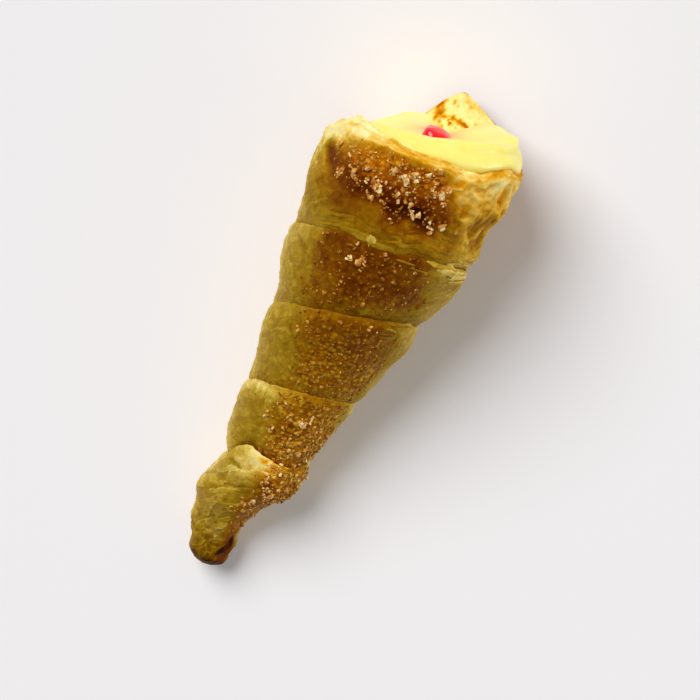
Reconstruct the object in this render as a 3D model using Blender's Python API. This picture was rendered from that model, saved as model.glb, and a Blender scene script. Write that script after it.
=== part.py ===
"""A cream horn: a strip of puff pastry wound round a cone and baked, filled with custard, with a piece of red jelly.

The horn is drawn about its own axis, which runs from the tip to the mouth along X. A place on the strip is given in
turns of its winding, which runs towards the mouth: it crosses the horn's left side (+Y) at each whole turn, the top
at a quarter, the right side at a half and the underside at three quarters. The horn is then laid on its side, cut
flat where it rests, and centred over its base.
"""

import math

import bmesh
import bpy
from mathutils import Matrix, Vector

MM = 0.001

# The strip's mouth-side edge, along the axis
EDGE_START = 27.6 * MM  # where it crosses the left side at turn 0
PITCH = 20.1 * MM  # how far a turn moves on
PITCH_GROWTH = 0.18 * MM  # how the turns widen towards the mouth, times the turns cubed
EDGE_SKEW = 1.3 * MM  # the winding leans, so its right side lags by twice this
TOP_LEAD = (3.9 * MM, 1.25 * MM)  # on top the edge runs further on: at the first turn, and more by this each turn
LAST_TURN = 4  # the turn that starts at the mouth's left side
STRIP_END = 0.735  # where the strip ends, in turns after that
CUT_FALL = 0.36  # the cut falls back from the strip's end over this share of the way to the left side
EDGE_WOBBLES = (  # at these turns, over this many turns, the edge runs further on by this
    (0.06, 0.05, -2.4 * MM),
    (0.172, 0.035, 1.5 * MM),
    (0.33, 0.08, -1.9 * MM),
    (1.15, 0.10, -1.0 * MM),
    (1.42, 0.10, 0.9 * MM),
    (2.42, 0.20, 6.3 * MM),
    (3.09, 0.07, -1.0 * MM),
    (3.28, 0.04, -1.0 * MM),
    (3.41, 0.10, 1.3 * MM),
    (3.98, 0.09, 1.4 * MM),
    (4.075, 0.045, 3.2 * MM),
    (4.235, 0.08, -3.9 * MM),
    (4.26, 0.26, 2.0 * MM),
    (4.345, 0.06, -3.0 * MM),
    (4.43, 0.05, 1.8 * MM),
)
CUT_BULGE = (0.922, 0.062, 2.5 * MM)  # the same for the cut end, in turns after the last turn's start

# The horn's body
TIP_X = -4.2 * MM
TIP_ROUNDING = 5.0 * MM
BODY = (  # how far along the axis, and the radius there
    (0 * MM, 6.2 * MM),
    (12 * MM, 7.6 * MM),
    (24 * MM, 10.9 * MM),
    (40 * MM, 12.6 * MM),
    (60 * MM, 15.7 * MM),
    (85 * MM, 21.4 * MM),
    (104 * MM, 24.8 * MM),
    (142 * MM, 26.0 * MM),
)
TIP_LEAN = (  # how far along the axis, and how far the tip leans to the left there
    (-3 * MM, 1.8 * MM),
    (3 * MM, 2.0 * MM),
    (14 * MM, 3.6 * MM),
    (25 * MM, -0.4 * MM),
    (40 * MM, 0 * MM),
)

FULLER_LEFT = (  # how far along the axis, and how much fuller the horn is there on its left
    (-3 * MM, 0.4 * MM),
    (0 * MM, -0.2 * MM),
    (2 * MM, 0.2 * MM),
    (6 * MM, 1.4 * MM),
    (9 * MM, 0.8 * MM),
    (15 * MM, 1.2 * MM),
    (22 * MM, -0.2 * MM),
    (31 * MM, 1.0 * MM),
    (45 * MM, 0.5 * MM),
    (70 * MM, 0.0 * MM),
    (76 * MM, -1.1 * MM),
    (90 * MM, -0.7 * MM),
    (99 * MM, -1.7 * MM),
    (110 * MM, 0.0 * MM),
    (126 * MM, -1.2 * MM),
)
FULLER_RIGHT = (
    (-3 * MM, -0.6 * MM),
    (0 * MM, -1.2 * MM),
    (4 * MM, -0.4 * MM),
    (7 * MM, -0.9 * MM),
    (15 * MM, 0.1 * MM),
    (19 * MM, -1.2 * MM),
    (25 * MM, -0.4 * MM),
    (40 * MM, -0.2 * MM),
    (60 * MM, 0.1 * MM),
    (76 * MM, 0.3 * MM),
    (82 * MM, -1.0 * MM),
    (90 * MM, 0.0 * MM),
    (106 * MM, 0.2 * MM),
    (116 * MM, -1.5 * MM),
    (128 * MM, -0.2 * MM),
)

# The step where one turn lies over the next, first at the tip's end of the horn and then at the mouth's
LIP_HEIGHT = (1.2 * MM, 0.5 * MM)
LIP_SETBACK = 3.5 * MM  # the swelling is highest this far before the edge
LIP_LENGTH = 5.0 * MM
CREASE_DEPTH = (1.3 * MM, 1.0 * MM)
CREASE_LENGTH = 5.0 * MM
STEP_FADES_IN = (-0.3, 0.0)  # turns over which the edge rises out of the tip's fold
STEP_RUN = 0.4 * MM

# The mouth
RIM_BEVEL = 1.1 * MM
RIM_CHAMFER = 0.35 * MM
CAVITY_RADIUS = 21.0 * MM  # at CAVITY_MOUTH
CAVITY_MOUTH = 126.0 * MM
CAVITY_TAPER = 0.170
CAVITY_END = 20.0 * MM

# The custard, and how far along the axis its swollen front stands at these turns round the mouth
GAP = 0.3 * MM
CREST = (
    (-0.25, 129.4 * MM),
    (-0.17, 129.8 * MM),
    (-0.07, 125.0 * MM),
    (0.00, 125.4 * MM),
    (0.10, 130.8 * MM),
    (0.20, 134.6 * MM),
    (0.31, 138.3 * MM),
    (0.40, 140.4 * MM),
    (0.50, 140.4 * MM),
    (0.60, 139.4 * MM),
    (0.65, 137.4 * MM),
    (0.70, 132.6 * MM),
    (0.75, 129.4 * MM),
)
FRONT_CENTRE_X = 133.6 * MM
LIP_OVERLAP = 2.1 * MM  # it spreads this far over the rim on the right
LIP_STARTS = 2.0 * MM  # but only where it stands out further than this

# The jelly
JELLY_SIZE = (5.4 * MM, 7.8 * MM, 7.0 * MM)
JELLY_CENTRE = (133.1 * MM, -0.9 * MM, 5.0 * MM)

# How it lies
LIE_SLOPE = 0.182  # of the straight line under its turns
LIE_RADIUS = 6.9 * MM  # that line's distance from the axis at X 0
FLAT_DEPTH = 1.0 * MM  # how much of its underside is pressed flat

SIDES = 48
STRIP_ROWS = 7
CAVITY_RINGS = 8
FILLING_RINGS = 10
FRONT_RINGS = 8
MERGE = 0.05 * MM


def smooth(value):
    value = min(max(value, 0.0), 1.0)
    return value * value * (3 - 2 * value)


def mix(a, b, share):
    return a + (b - a) * share


def curve(points, x):
    """A smooth curve through the points, read at this place along it, and level past its ends."""
    if x <= points[0][0]:
        return points[0][1]
    if x >= points[-1][0]:
        return points[-1][1]
    slopes = [(b[1] - a[1]) / (b[0] - a[0]) for a, b in zip(points, points[1:])]
    slopes = [0.0] + [(a + b) / 2 for a, b in zip(slopes, slopes[1:])] + [0.0]
    here = max(i for i, point in enumerate(points) if point[0] <= x)
    (x0, y0), (x1, y1) = points[here : here + 2]
    share = (x - x0) / (x1 - x0)
    bowed = share * (1 - share) * (x1 - x0)
    return mix(y0, y1, smooth(share)) + bowed * ((1 - share) * slopes[here] - share * slopes[here + 1])


def hump(value, centre, spread):
    """A bell curve, 1 at the centre."""
    return math.exp(-(((value - centre) / spread) ** 2))


def strip_edge(turns):
    """Where the strip's mouth-side edge lies along the axis after this many turns."""
    skew = EDGE_SKEW * (1 - math.cos(2 * math.pi * turns))
    x = EDGE_START + PITCH * turns + PITCH_GROWTH * turns**3 - skew
    if turns > 0:
        x += (TOP_LEAD[0] + TOP_LEAD[1] * turns) * max(math.sin(2 * math.pi * turns), 0.0)
    return x + sum(further * hump(turns, at, over) for at, over, further in EDGE_WOBBLES)


def rim(turn):
    """The mouth's rim: the strip's last edge as far as the strip's end, and then its slanting cut."""
    if turn <= STRIP_END:
        return strip_edge(LAST_TURN + turn)
    left = strip_edge(LAST_TURN)
    peak = strip_edge(LAST_TURN + STRIP_END)
    fallen = smooth((turn - STRIP_END) / (1 - STRIP_END) / CUT_FALL)
    at, over, further = CUT_BULGE
    return mix(left, peak, 1 - fallen) + further * hump(turn, at, over)


def body_radius(x):
    """The smooth horn under the winding, with a rounded tip."""
    inward = min(max((TIP_X + TIP_ROUNDING - x) / TIP_ROUNDING, 0.0), 1.0)
    return curve(BODY, x) * math.sqrt(1 - inward * inward)


def fuller(x, turns):
    """How much the horn is fuller at its left and right sides than its round body."""
    side = math.cos(2 * math.pi * turns)
    extra = curve(FULLER_LEFT, x) * max(side, 0.0) ** 1.5 + curve(FULLER_RIGHT, x) * max(-side, 0.0) ** 1.5
    return extra * smooth((x - TIP_X) / (6 * MM))


def lip(turns, before):
    """How far the strip swells where its edge is this far ahead."""
    grown = smooth((turns - STEP_FADES_IN[0]) / (STEP_FADES_IN[1] - STEP_FADES_IN[0]))
    along = min(max(turns / LAST_TURN, 0.0), 1.0)
    return grown * mix(*LIP_HEIGHT, along) * math.exp(-(((before - LIP_SETBACK) / LIP_LENGTH) ** 2))


def crease(turns, after):
    """How far the next turn dips where this edge is this far behind."""
    grown = smooth((turns - STEP_FADES_IN[0]) / (STEP_FADES_IN[1] - STEP_FADES_IN[0]))
    along = min(max(turns / LAST_TURN, 0.0), 1.0)
    return grown * mix(*CREASE_DEPTH, along) * math.exp(-after / CREASE_LENGTH)


def about_axis(x, radius, turns):
    """The point at this distance from the horn's axis."""
    angle = 2 * math.pi * turns
    return Vector((x, radius * math.cos(angle), radius * math.sin(angle)))


def strip_column(turns):
    """A line of points across the strip's outer face, from the edge that it covers to its own edge."""
    start = max(strip_edge(turns - 1), TIP_X)
    end = strip_edge(turns)
    if turns >= LAST_TURN:
        end = rim(turns - LAST_TURN) - RIM_BEVEL
        start = min(start, end)
    column = []
    for row in range(STRIP_ROWS + 1):
        share = row / STRIP_ROWS
        share = mix(share, smooth(share), 0.6)
        x = mix(start, end, share)
        radius = body_radius(x) + fuller(x, turns) + lip(turns, end - x) - crease(turns - 1, x - start)
        run = STEP_RUN * (1 - share) ** 3 if start > TIP_X and end - start > 2 * STEP_RUN else 0
        lean = Vector((0, curve(TIP_LEAN, x), 0))
        column.append(about_axis(x + run, max(radius, 0.0), turns) + lean)
    return column


def outer_radius(turns):
    """The radius of the skin where the rim's bevel starts."""
    x = rim(turns - LAST_TURN) - RIM_BEVEL
    start = min(strip_edge(turns - 1), x)
    return body_radius(x) + fuller(x, turns) + lip(turns, 0) - crease(turns - 1, x - start)


def cavity_radius(x):
    return CAVITY_RADIUS - CAVITY_TAPER * (CAVITY_MOUTH - x)


def pastry_columns():
    """The skin's columns: the strip from the tip to its end, going on over the rim and into the cavity."""
    first = next(side for side in range(-2 * SIDES, 0) if strip_edge(side / SIDES) > TIP_X)
    columns = []
    for side in range(first, (LAST_TURN + 1) * SIDES):
        turns = side / SIDES
        columns.append(strip_column(turns))
    rims = []
    for side in range(SIDES):
        turns = LAST_TURN + side / SIDES
        end = rim(side / SIDES)
        wall = outer_radius(turns)
        hollow = cavity_radius(end)
        column = [columns[side - SIDES][-1]]
        column.append(about_axis(end - RIM_CHAMFER, wall - 0.5 * RIM_BEVEL, turns))
        column.append(about_axis(end, mix(hollow, wall, 0.5), turns))
        column.append(about_axis(end - RIM_CHAMFER, hollow + RIM_CHAMFER, turns))
        for ring in range(CAVITY_RINGS):
            share = (ring + 0.4) / (CAVITY_RINGS - 0.6)
            x = mix(end - RIM_BEVEL, CAVITY_END, share)
            column.append(about_axis(x, cavity_radius(x), turns))
        rims.append(column)
    return columns, rims


def front_swell(turn):
    """How far the custard stands out past the rim."""
    return curve(CREST, turn - 1 if turn > CREST[-1][0] else turn) - rim(turn)


def custard_rings():
    """The custard's skin as rings, from the cavity's end to the mouth and over its swollen front."""
    columns = []
    for side in range(SIDES):
        turn = side / SIDES
        end = rim(turn)
        start = CAVITY_END + 2 * GAP
        proud = front_swell(turn)
        column = []
        for ring in range(FILLING_RINGS):
            x = mix(start, end + min(proud, 0.0) - RIM_CHAMFER, ring / (FILLING_RINGS - 1))
            column.append(about_axis(x, cavity_radius(x) - GAP, turn))
        foot = column[-1]
        on_right = smooth((0.5 - abs(turn - 0.42) * 1.9) / 0.3) * smooth(proud / LIP_STARTS - 1)
        spread = cavity_radius(end) - GAP + LIP_OVERLAP * on_right
        front = end + proud
        if proud > 2 * GAP:
            column.append(about_axis(end + GAP, mix(cavity_radius(end) - GAP, spread, 0.55), turn))
            column.append(about_axis(mix(end, front, 0.45), spread, turn))
        else:
            column.append(foot + Vector((0.25 * RIM_BEVEL, 0, 0)))
            column.append(foot + Vector((0.5 * RIM_BEVEL, 0, 0)))
            front = column[-1].x + 0.5 * RIM_BEVEL
            spread = cavity_radius(front) - GAP
        for ring in range(FRONT_RINGS):
            share = (ring + 0.8) / (FRONT_RINGS + 0.1)
            radius = spread * math.sqrt(max(1 - share**1.6, 0.0))
            column.append(about_axis(mix(front, FRONT_CENTRE_X, smooth(share)), radius, turn))
        columns.append(column)
    return [list(ring) for ring in zip(*columns)]


def weave(bm, first, second):
    """Faces between two lines of points of equal length."""
    for (a, b), (c, d) in zip(zip(first, first[1:]), zip(second, second[1:])):
        bm.faces.new((a, b, d, c))


def close_ring(bm, ring):
    """Closes an open ring to the middle of its points."""
    middle = bm.verts.new(sum((vert.co for vert in ring), Vector()) / len(ring))
    for vert, after in zip(ring, ring[1:] + ring[:1]):
        bm.faces.new((middle, vert, after))


def wind_pastry(bm):
    """The pastry's closed skin, its strip sewn to itself along each step and to the tip's point."""
    columns, rims = pastry_columns()
    strip = [[bm.verts.new(point) for point in column] for column in columns]
    for first, second in zip(strip, strip[1:]):
        weave(bm, first, second)
    steps = [(column[-1], after[0]) for column, after in zip(strip, strip[SIDES:])]
    for (a, b), (c, d) in zip(steps, steps[1:]):
        bm.faces.new((a, b, d, c))
    inner = [[bm.verts.new(point) for point in column] for column in rims]
    for first, second in zip(inner, inner[1:] + inner[:1]):
        weave(bm, first, second)
    close_ring(bm, [column[-1] for column in inner])
    last = strip[-1]
    covered = strip[-SIDES]
    for a, b in zip(last, last[1:]):
        bm.faces.new((a, b, covered[-1]))
    bmesh.ops.remove_doubles(bm, verts=bm.verts, dist=MERGE)
    bmesh.ops.dissolve_degenerate(bm, edges=bm.edges, dist=MERGE)
    bmesh.ops.recalc_face_normals(bm, faces=bm.faces)


def stack_rings(bm, rings):
    """A closed skin over rings of equal size."""
    loops = [[bm.verts.new(point) for point in ring] for ring in rings]
    for first, second in zip(loops, loops[1:]):
        weave(bm, first + first[:1], second + second[:1])
    close_ring(bm, loops[0])
    close_ring(bm, loops[-1])
    bmesh.ops.recalc_face_normals(bm, faces=bm.faces)


def press_flat(bm):
    """Cuts the underside along the floor and closes the cuts with flat faces."""
    bmesh.ops.bisect_plane(
        bm,
        geom=bm.verts[:] + bm.edges[:] + bm.faces[:],
        dist=0.02 * MM,
        plane_co=(0, 0, 0),
        plane_no=(0, 0, 1),
        clear_inner=True,
    )
    open_edges = [edge for edge in bm.edges if edge.is_boundary]
    bmesh.ops.holes_fill(bm, edges=open_edges, sides=0)
    bmesh.ops.recalc_face_normals(bm, faces=bm.faces)


def material(name, colour, roughness):
    made = bpy.data.materials.new(name)
    made.use_nodes = True
    shader = made.node_tree.nodes["Principled BSDF"]
    shader.inputs["Base Color"].default_value = (*colour, 1)
    shader.inputs["Roughness"].default_value = roughness
    shader.inputs["Metallic"].default_value = 0.0
    return made


def add_object(name, bm, finish):
    mesh = bpy.data.meshes.new(name)
    bm.to_mesh(mesh)
    bm.free()
    mesh.materials.append(finish)
    mesh.shade_smooth()
    mesh.set_sharp_from_angle(angle=math.radians(40))
    made = bpy.data.objects.new(name, mesh)
    bpy.context.scene.collection.objects.link(made)
    return made


def lying():
    """Turns the horn's own frame so that the line under its turns is level and FLAT_DEPTH below the floor."""
    angle = math.atan(LIE_SLOPE)
    height = LIE_RADIUS * math.cos(angle) - FLAT_DEPTH
    return Matrix.Translation((0, 0, height)) @ Matrix.Rotation(-angle, 4, "Y")


def make_pastry(place):
    bm = bmesh.new()
    wind_pastry(bm)
    bm.transform(place)
    press_flat(bm)
    return add_object("pastry", bm, material("baked_pastry", (0.55, 0.31, 0.06), 0.6))


def make_custard(place):
    bm = bmesh.new()
    stack_rings(bm, custard_rings())
    bm.transform(place)
    return add_object("custard", bm, material("yellow_custard", (0.95, 0.82, 0.25), 0.35))


def jelly_shape(grown):
    bm = bmesh.new()
    bmesh.ops.create_uvsphere(bm, u_segments=20, v_segments=10, radius=0.5)
    bm.transform(Matrix.Diagonal([side + 2 * grown for side in JELLY_SIZE]).to_4x4())
    bm.transform(Matrix.Translation(JELLY_CENTRE))
    return bm


def make_jelly(place, custard):
    """The jelly, and the pocket that it leaves in the custard."""
    bm = jelly_shape(0)
    bm.transform(place)
    jelly = add_object("jelly", bm, material("red_jelly", (0.80, 0.03, 0.02), 0.15))
    bm = jelly_shape(GAP)
    bm.transform(place)
    pocket = add_object("jelly_pocket", bm, material("pocket", (0.5, 0.5, 0.5), 0.5))
    pocket.hide_render = True
    pocket.display_type = "WIRE"
    cut = custard.modifiers.new("pocket", "BOOLEAN")
    cut.operation = "DIFFERENCE"
    cut.object = pocket
    return jelly


def centre_over_base(pieces):
    """Moves everything so that the origin is under the middle of the pieces, on the floor."""
    places = [vert.co for piece in pieces for vert in piece.data.vertices]
    low = Vector([min(place[axis] for place in places) for axis in range(3)])
    high = Vector([max(place[axis] for place in places) for axis in range(3)])
    shift = Vector((-(low.x + high.x) / 2, -(low.y + high.y) / 2, -low.z))
    for piece in bpy.context.scene.objects:
        piece.data.transform(Matrix.Translation(shift))


def main():
    for old in list(bpy.data.objects):
        bpy.data.objects.remove(old)
    place = lying()
    pastry = make_pastry(place)
    custard = make_custard(place)
    jelly = make_jelly(place, custard)
    centre_over_base([pastry, custard, jelly])


main()
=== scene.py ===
"""The looks of a cream horn: a strip of puff pastry wound in a spiral and baked, sugared on its upper side,
filled with custard, with a piece of red jelly at the mouth.

Lengths are in millimetres about the horn's own axis, X from the tip to the mouth, until a piece is laid down.
A place round the horn is in turns of the winding: whole turns on its left (+Y), quarters on top, halves on
its right.
"""

import math

import bpy
import numpy as np
from mathutils import Matrix, Vector


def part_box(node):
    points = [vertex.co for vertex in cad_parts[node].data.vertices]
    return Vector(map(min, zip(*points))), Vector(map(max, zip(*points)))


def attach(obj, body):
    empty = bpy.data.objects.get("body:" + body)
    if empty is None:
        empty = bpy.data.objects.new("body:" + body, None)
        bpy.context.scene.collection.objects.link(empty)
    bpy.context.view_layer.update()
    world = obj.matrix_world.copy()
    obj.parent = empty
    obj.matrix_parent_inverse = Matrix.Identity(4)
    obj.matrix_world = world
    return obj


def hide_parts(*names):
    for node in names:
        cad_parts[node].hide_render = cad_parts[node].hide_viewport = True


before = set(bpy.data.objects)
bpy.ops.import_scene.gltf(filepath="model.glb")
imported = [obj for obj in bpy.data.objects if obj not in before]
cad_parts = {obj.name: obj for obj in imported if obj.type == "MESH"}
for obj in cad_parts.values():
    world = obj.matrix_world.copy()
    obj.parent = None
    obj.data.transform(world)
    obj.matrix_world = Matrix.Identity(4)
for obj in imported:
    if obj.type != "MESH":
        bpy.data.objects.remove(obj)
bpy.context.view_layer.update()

MM = 0.001
TAU = 2 * math.pi

# The strip's mouth-side edge, along the axis
EDGE_START = 27.6
PITCH = 20.1
PITCH_GROWTH = 0.18
EDGE_SKEW = 1.3  # on the right the edge lies back by twice this
TOP_LEAD = (3.9, 1.25)  # on top the edge runs further on: at the first turn, and more by this each turn
OVERLAP_FROM = 0.75  # from this turn on the strip lies over the turn before it
LAST_TURN = 4
STRIP_END = 0.735  # in turns from the last one
CUT_FALL = 0.36  # over this share of the rest of the turn the slanting cut falls back
CRUMBS_AT = 4.922
EDGE_WOBBLES = (  # at these turns, over this many turns, the edge runs further on by this
    (0.06, 0.05, -2.4), (0.172, 0.035, 1.5), (0.22, 0.10, 0.4), (0.33, 0.08, -1.9), (1.15, 0.10, -1.0),
    (1.42, 0.10, 0.9), (2.42, 0.20, 6.3), (3.09, 0.07, -1.0), (3.28, 0.04, -1.0), (3.41, 0.10, 1.3),
    (3.98, 0.09, 1.4), (4.075, 0.045, 3.2), (4.235, 0.08, -3.9), (4.26, 0.26, 2.0), (4.345, 0.06, -3.0),
    (4.43, 0.05, 1.8),
)

# The horn's body
TIP_X = -4.2
TIP_ROUNDING = 5.0
BODY = ((0, 6.2), (12, 7.6), (24, 10.9), (40, 12.6), (60, 15.7), (85, 21.4), (104, 24.8), (142, 26.0))
TIP_LEAN = ((-3, 1.8), (0, 1.8), (3, 2.0), (14, 3.6), (25, -0.4), (40, 0))
# How much fuller than round the horn is on its left and on its right
FULLER_LEFT = (
    (-3, 0.4), (0, -0.2), (2, 0.2), (4, 1.1), (6, 1.4), (9, 0.8), (12, 0.9), (15, 1.2), (22, -0.2),
    (27, 0.2), (31, 1.0), (45, 0.5), (62, 0.4), (70, 0.0), (76, -1.1), (82, -0.6), (90, -0.7), (99, -1.7),
    (104, -1.4), (110, 0.0), (118, -0.4), (126, -1.2),
)
FULLER_RIGHT = (
    (-3, -0.6), (0, -1.2), (4, -0.4), (7, -0.9), (12, -0.2), (15, 0.1), (19, -1.2), (25, -0.4), (30, -0.9),
    (40, -0.2), (53, -0.5), (60, 0.1), (70, 0.3), (76, 0.3), (82, -1.0), (90, 0.0), (101, -0.6), (106, 0.2),
    (116, -1.5), (121, -0.4), (128, -0.2),
)
CAVITY_RADIUS = 21.0
CAVITY_MOUTH = 126.0
CAVITY_TAPER = 0.170
CAVITY_NARROWEST = 0.6

# The step where one turn lies over the next, round the winding, and how the turns swell beside it
STEP = (
    (-0.25, 0.0), (0.00, 1.2), (0.18, 1.7), (0.34, 1.1), (0.50, 1.0), (0.80, 1.0), (1.15, 0.6), (1.45, 0.7),
    (1.80, 1.0), (2.10, 0.6), (2.30, 1.0), (2.50, 1.0), (2.90, 0.9), (3.08, 0.35), (3.25, 0.3), (3.38, 0.6),
    (3.46, 1.2), (3.80, 1.0),
)
SWELL_SETBACK = 5.0
SWELL_LENGTH = 6.0
CREASE_LENGTH = 3.0
TUCK = 2.6
EDGE_ROLL = 3.0
EDGE_THICKNESS = 0.8
# How far back from the mouth's rim its face slopes down, and how browned that slope is
RIM_BEVEL = (
    (3.90, 4.2), (4.02, 5.0), (4.06, 6.2), (4.11, 5.0), (4.16, 3.4), (4.22, 2.3), (4.28, 2.3), (4.33, 3.0),
    (4.42, 2.7), (4.52, 1.8), (4.62, 1.2), (4.74, 2.4), (4.90, 3.0),
)
RIM_TOAST = (
    (3.90, 0.10), (4.05, 0.02), (4.14, 0.02), (4.19, 0.20), (4.24, 0.27), (4.29, 0.16), (4.33, 0.10),
    (4.40, 0.14), (4.52, 0.20), (4.62, 0.14), (4.72, 0.12), (4.90, 0.10),
)

INNER_BLOTCH = (133.8, LAST_TURN + 0.742)  # inside the raised corner, along the axis and by turn

# Places paler or darker than the strip round them: by how much, at which turn and over how many, and then
# which measure along the axis, how far by it and over how much
DABS = (
    (-0.12, 4.42, 0.05, "left", 2.5, 3.0),
    (-0.20, 4.42, 0.05, "across", 1.5, 3.0),
    (0.20, 4.165, 0.032, "x", 113, 5),
    (0.10, 4.21, 0.03, "x", 108.5, 3),
    (-0.08, 4.20, 0.03, "x", 126, 3),
    (-0.16, 3.40, 0.03, "x", 105.7, 3),
    (-0.10, 1.362, 0.03, "x", 54, 3),
    (0.16, 1.27, 0.045, "x", 45, 3.5),
    (-0.20, 1.15, 0.12, "left", 0.5, 3.2),
    (0.25, 0.30, 0.03, "x", 27.5, 2.2),
)
CRUMPLE_END = 4.66
HONEY = (0.205, 0.05, "x", 30, 4)  # a clear yellow place by the tip's pale one

# The browned and sugared stripe along the horn: where its middle runs, its half width and its browning
STRIPE_MIDDLE = (
    (8, 0.40), (25, 0.36), (45, 0.335), (70, 0.305), (95, 0.266), (114, 0.246), (124, 0.232),
)
STRIPE_HALF = (
    (0, 0.05), (14, 0.08), (30, 0.105), (45, 0.11), (70, 0.105), (96, 0.10), (114, 0.106), (124, 0.098),
)
STRIPE_TOAST = (
    (0, 0.52), (25, 0.54), (45, 0.48), (70, 0.56), (88, 0.70), (97, 0.72), (112, 0.76), (118, 0.82),
    (124, 0.60),
)
STRIPE_FADES = (  # what share of it is lost, and where, as for the dabs
    (0.75, 3.30, 0.13, "across", 0.5, 4.2),
    (0.5, 2.32, 0.12, "across", 0.5, 3.2),
    (0.35, 2.28, 0.12, "left", 0, 2.8),
)

# Where sugar lies along the horn: clear crystals, and ones melted to amber
CLEAR_SUGAR = (
    (8, 0.0), (18, 0.4), (30, 0.9), (42, 0.5), (52, 0.12), (75, 0.04), (100, 0.06), (112, 0.35), (122, 1.0),
)
AMBER_SUGAR = (
    (4, 0.1), (16, 0.6), (30, 1.0), (46, 1.0), (54, 0.9), (76, 0.75), (96, 0.45), (112, 0.4), (122, 0.8),
)
SUGAR_TONE = ((10, 0.30), (30, 0.46), (46, 0.42), (60, 0.26), (90, 0.12), (112, 0.2), (122, 0.3))
SUGAR_CLUMPS = (  # turns round, along the axis, how many crystals
    (0.133, 117.0, 17), (0.145, 123.0, 3), (0.212, 119.6, 17), (0.200, 121.0, 7), (0.222, 125.8, 7),
    (0.243, 124.6, 11), (0.256, 126.8, 8), (0.308, 125.8, 17), (0.316, 123.2, 4), (0.283, 118.0, 6),
    (0.317, 115.4, 5), (0.338, 117.2, 7), (0.243, 99.8, 7), (0.222, 98.6, 4), (0.325, 50.5, 7),
    (0.300, 48.5, 6), (0.300, 27.0, 8), (0.335, 24.5, 7), (0.285, 29.5, 4),
)
CLUMP_RADIUS = 1.15
LEAST_STRETCH = (0.7, 0.6, 0.5)
MOST_STRETCH = (1.4, 1.1, 0.9)

# The custard's swollen edge all round the mouth: in turns, how far along the axis and how far from it
CREST = (
    (-0.22, 131.2, 18.5), (-0.17, 129.8, 19.0), (-0.13, 126.8, 19.2), (-0.07, 125.0, 18.0),
    (0.00, 125.4, 18.5), (0.10, 130.8, 18.5), (0.20, 134.6, 18.0), (0.25, 136.2, 17.0), (0.31, 138.3, 17.0),
    (0.40, 140.4, 19.0), (0.50, 140.4, 20.5), (0.60, 139.4, 20.0), (0.65, 137.4, 19.0), (0.70, 132.6, 19.0),
    (0.75, 129.4, 19.5), (0.78, 131.2, 18.5),
)
CUSTARD_REACH = (
    (0.0, 21.4), (0.2, 22.9), (0.35, 23.6), (0.45, 24.6), (0.58, 24.2), (0.66, 22.2), (0.75, 21.0),
    (1.0, 21.4),
)
CUSTARD_START = 20.6
CUSTARD_HEART = (133.6, 0.3, 2.0)
CREST_SHARE = 0.3  # how much of the way from the wall to the heart is the roll over the crest
BLUSH_PLACE = (-0.4, -1.5)
BLUSH_SPREAD = (5.6, 6.4)
JELLY_PLACE = (133.1, -0.9, 5.0)
JELLY_HALF = (2.7, 3.9, 3.5)

# How it lies
LIE_SLOPE = 0.182
LIE_RADIUS = 6.9
FLAT_DEPTH = 1.0
FLOOR_GAP = 0.03 * MM

# Mesh grain
CELL = 0.30
EDGE_ROWS = 14
RIM_ROWS = 34
INNER_ROWS = 12
MOUTH_INNER_ROWS = 60
CUSTARD_COLUMNS = 360
WALL_RINGS = 23
FRONT_RINGS = 109


# ---------------------------------------------------------------- shapes of numbers


def smooth(value):
    value = np.clip(value, 0.0, 1.0)
    return value * value * (3 - 2 * value)


def mix(a, b, share):
    return a + (b - a) * share


def hump(value, centre, spread):
    """A bell curve, 1 at the centre."""
    return np.exp(-(((value - centre) / spread) ** 2))


def between(value, low, high, blur):
    """1 from low to high, fading to 0 over the blur at each end."""
    return smooth((value - low) / blur + 0.5) * smooth((high - value) / blur + 0.5)


def circle(radius, turns):
    """How far to the left and up a place is, at this distance from the axis and this turn round it."""
    return radius * np.cos(TAU * turns), radius * np.sin(TAU * turns)


def curve(points, x):
    """A smooth cubic through the points, level past its ends."""
    px, py = np.array(points, float).T
    slope = np.diff(py) / np.diff(px)
    tangent = np.concatenate([[0.0], (slope[1:] + slope[:-1]) / 2, [0.0]])
    x = np.clip(x, px[0], px[-1])
    here = np.clip(np.searchsorted(px, x, side="right") - 1, 0, len(px) - 2)
    width = px[here + 1] - px[here]
    share = (x - px[here]) / width
    bowed = share * (1 - share) * width
    bow = bowed * ((1 - share) * tangent[here] - share * tangent[here + 1])
    return mix(py[here], py[here + 1], smooth(share)) + bow


def lattice(ix, iy, iz, seed):
    """A repeatable number from 0 to 1 at each whole point of space: the bits of its coordinates, mixed."""
    n = ix.astype(np.int64).astype(np.uint32) * np.uint32(0x8DA6B343)
    n ^= iy.astype(np.int64).astype(np.uint32) * np.uint32(0xD8163841)
    n ^= iz.astype(np.int64).astype(np.uint32) * np.uint32(0xCB1AB31F)
    n ^= np.uint32(seed * 0x9E3779B1 & 0xFFFFFFFF)
    n = (n ^ (n >> np.uint32(15))) * np.uint32(0x2C1B3C6D)
    n = (n ^ (n >> np.uint32(12))) * np.uint32(0x297A2D39)
    return (n ^ (n >> np.uint32(15))).astype(np.float64) / 4294967295.0


def noise(x, y, z, seed):
    """Smooth noise from -1 to 1: the lattice's numbers blended between the eight corners round each point."""
    x, y, z = np.broadcast_arrays(x, y, z)
    ix, iy, iz = np.floor(x), np.floor(y), np.floor(z)
    fx, fy, fz = smooth(x - ix), smooth(y - iy), smooth(z - iz)
    layers = []
    for dz in (0, 1):
        rows = []
        for dy in (0, 1):
            a = lattice(ix, iy + dy, iz + dz, seed)
            b = lattice(ix + 1, iy + dy, iz + dz, seed)
            rows.append(mix(a, b, fx))
        layers.append(mix(rows[0], rows[1], fy))
    return 2 * mix(layers[0], layers[1], fz) - 1


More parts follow.
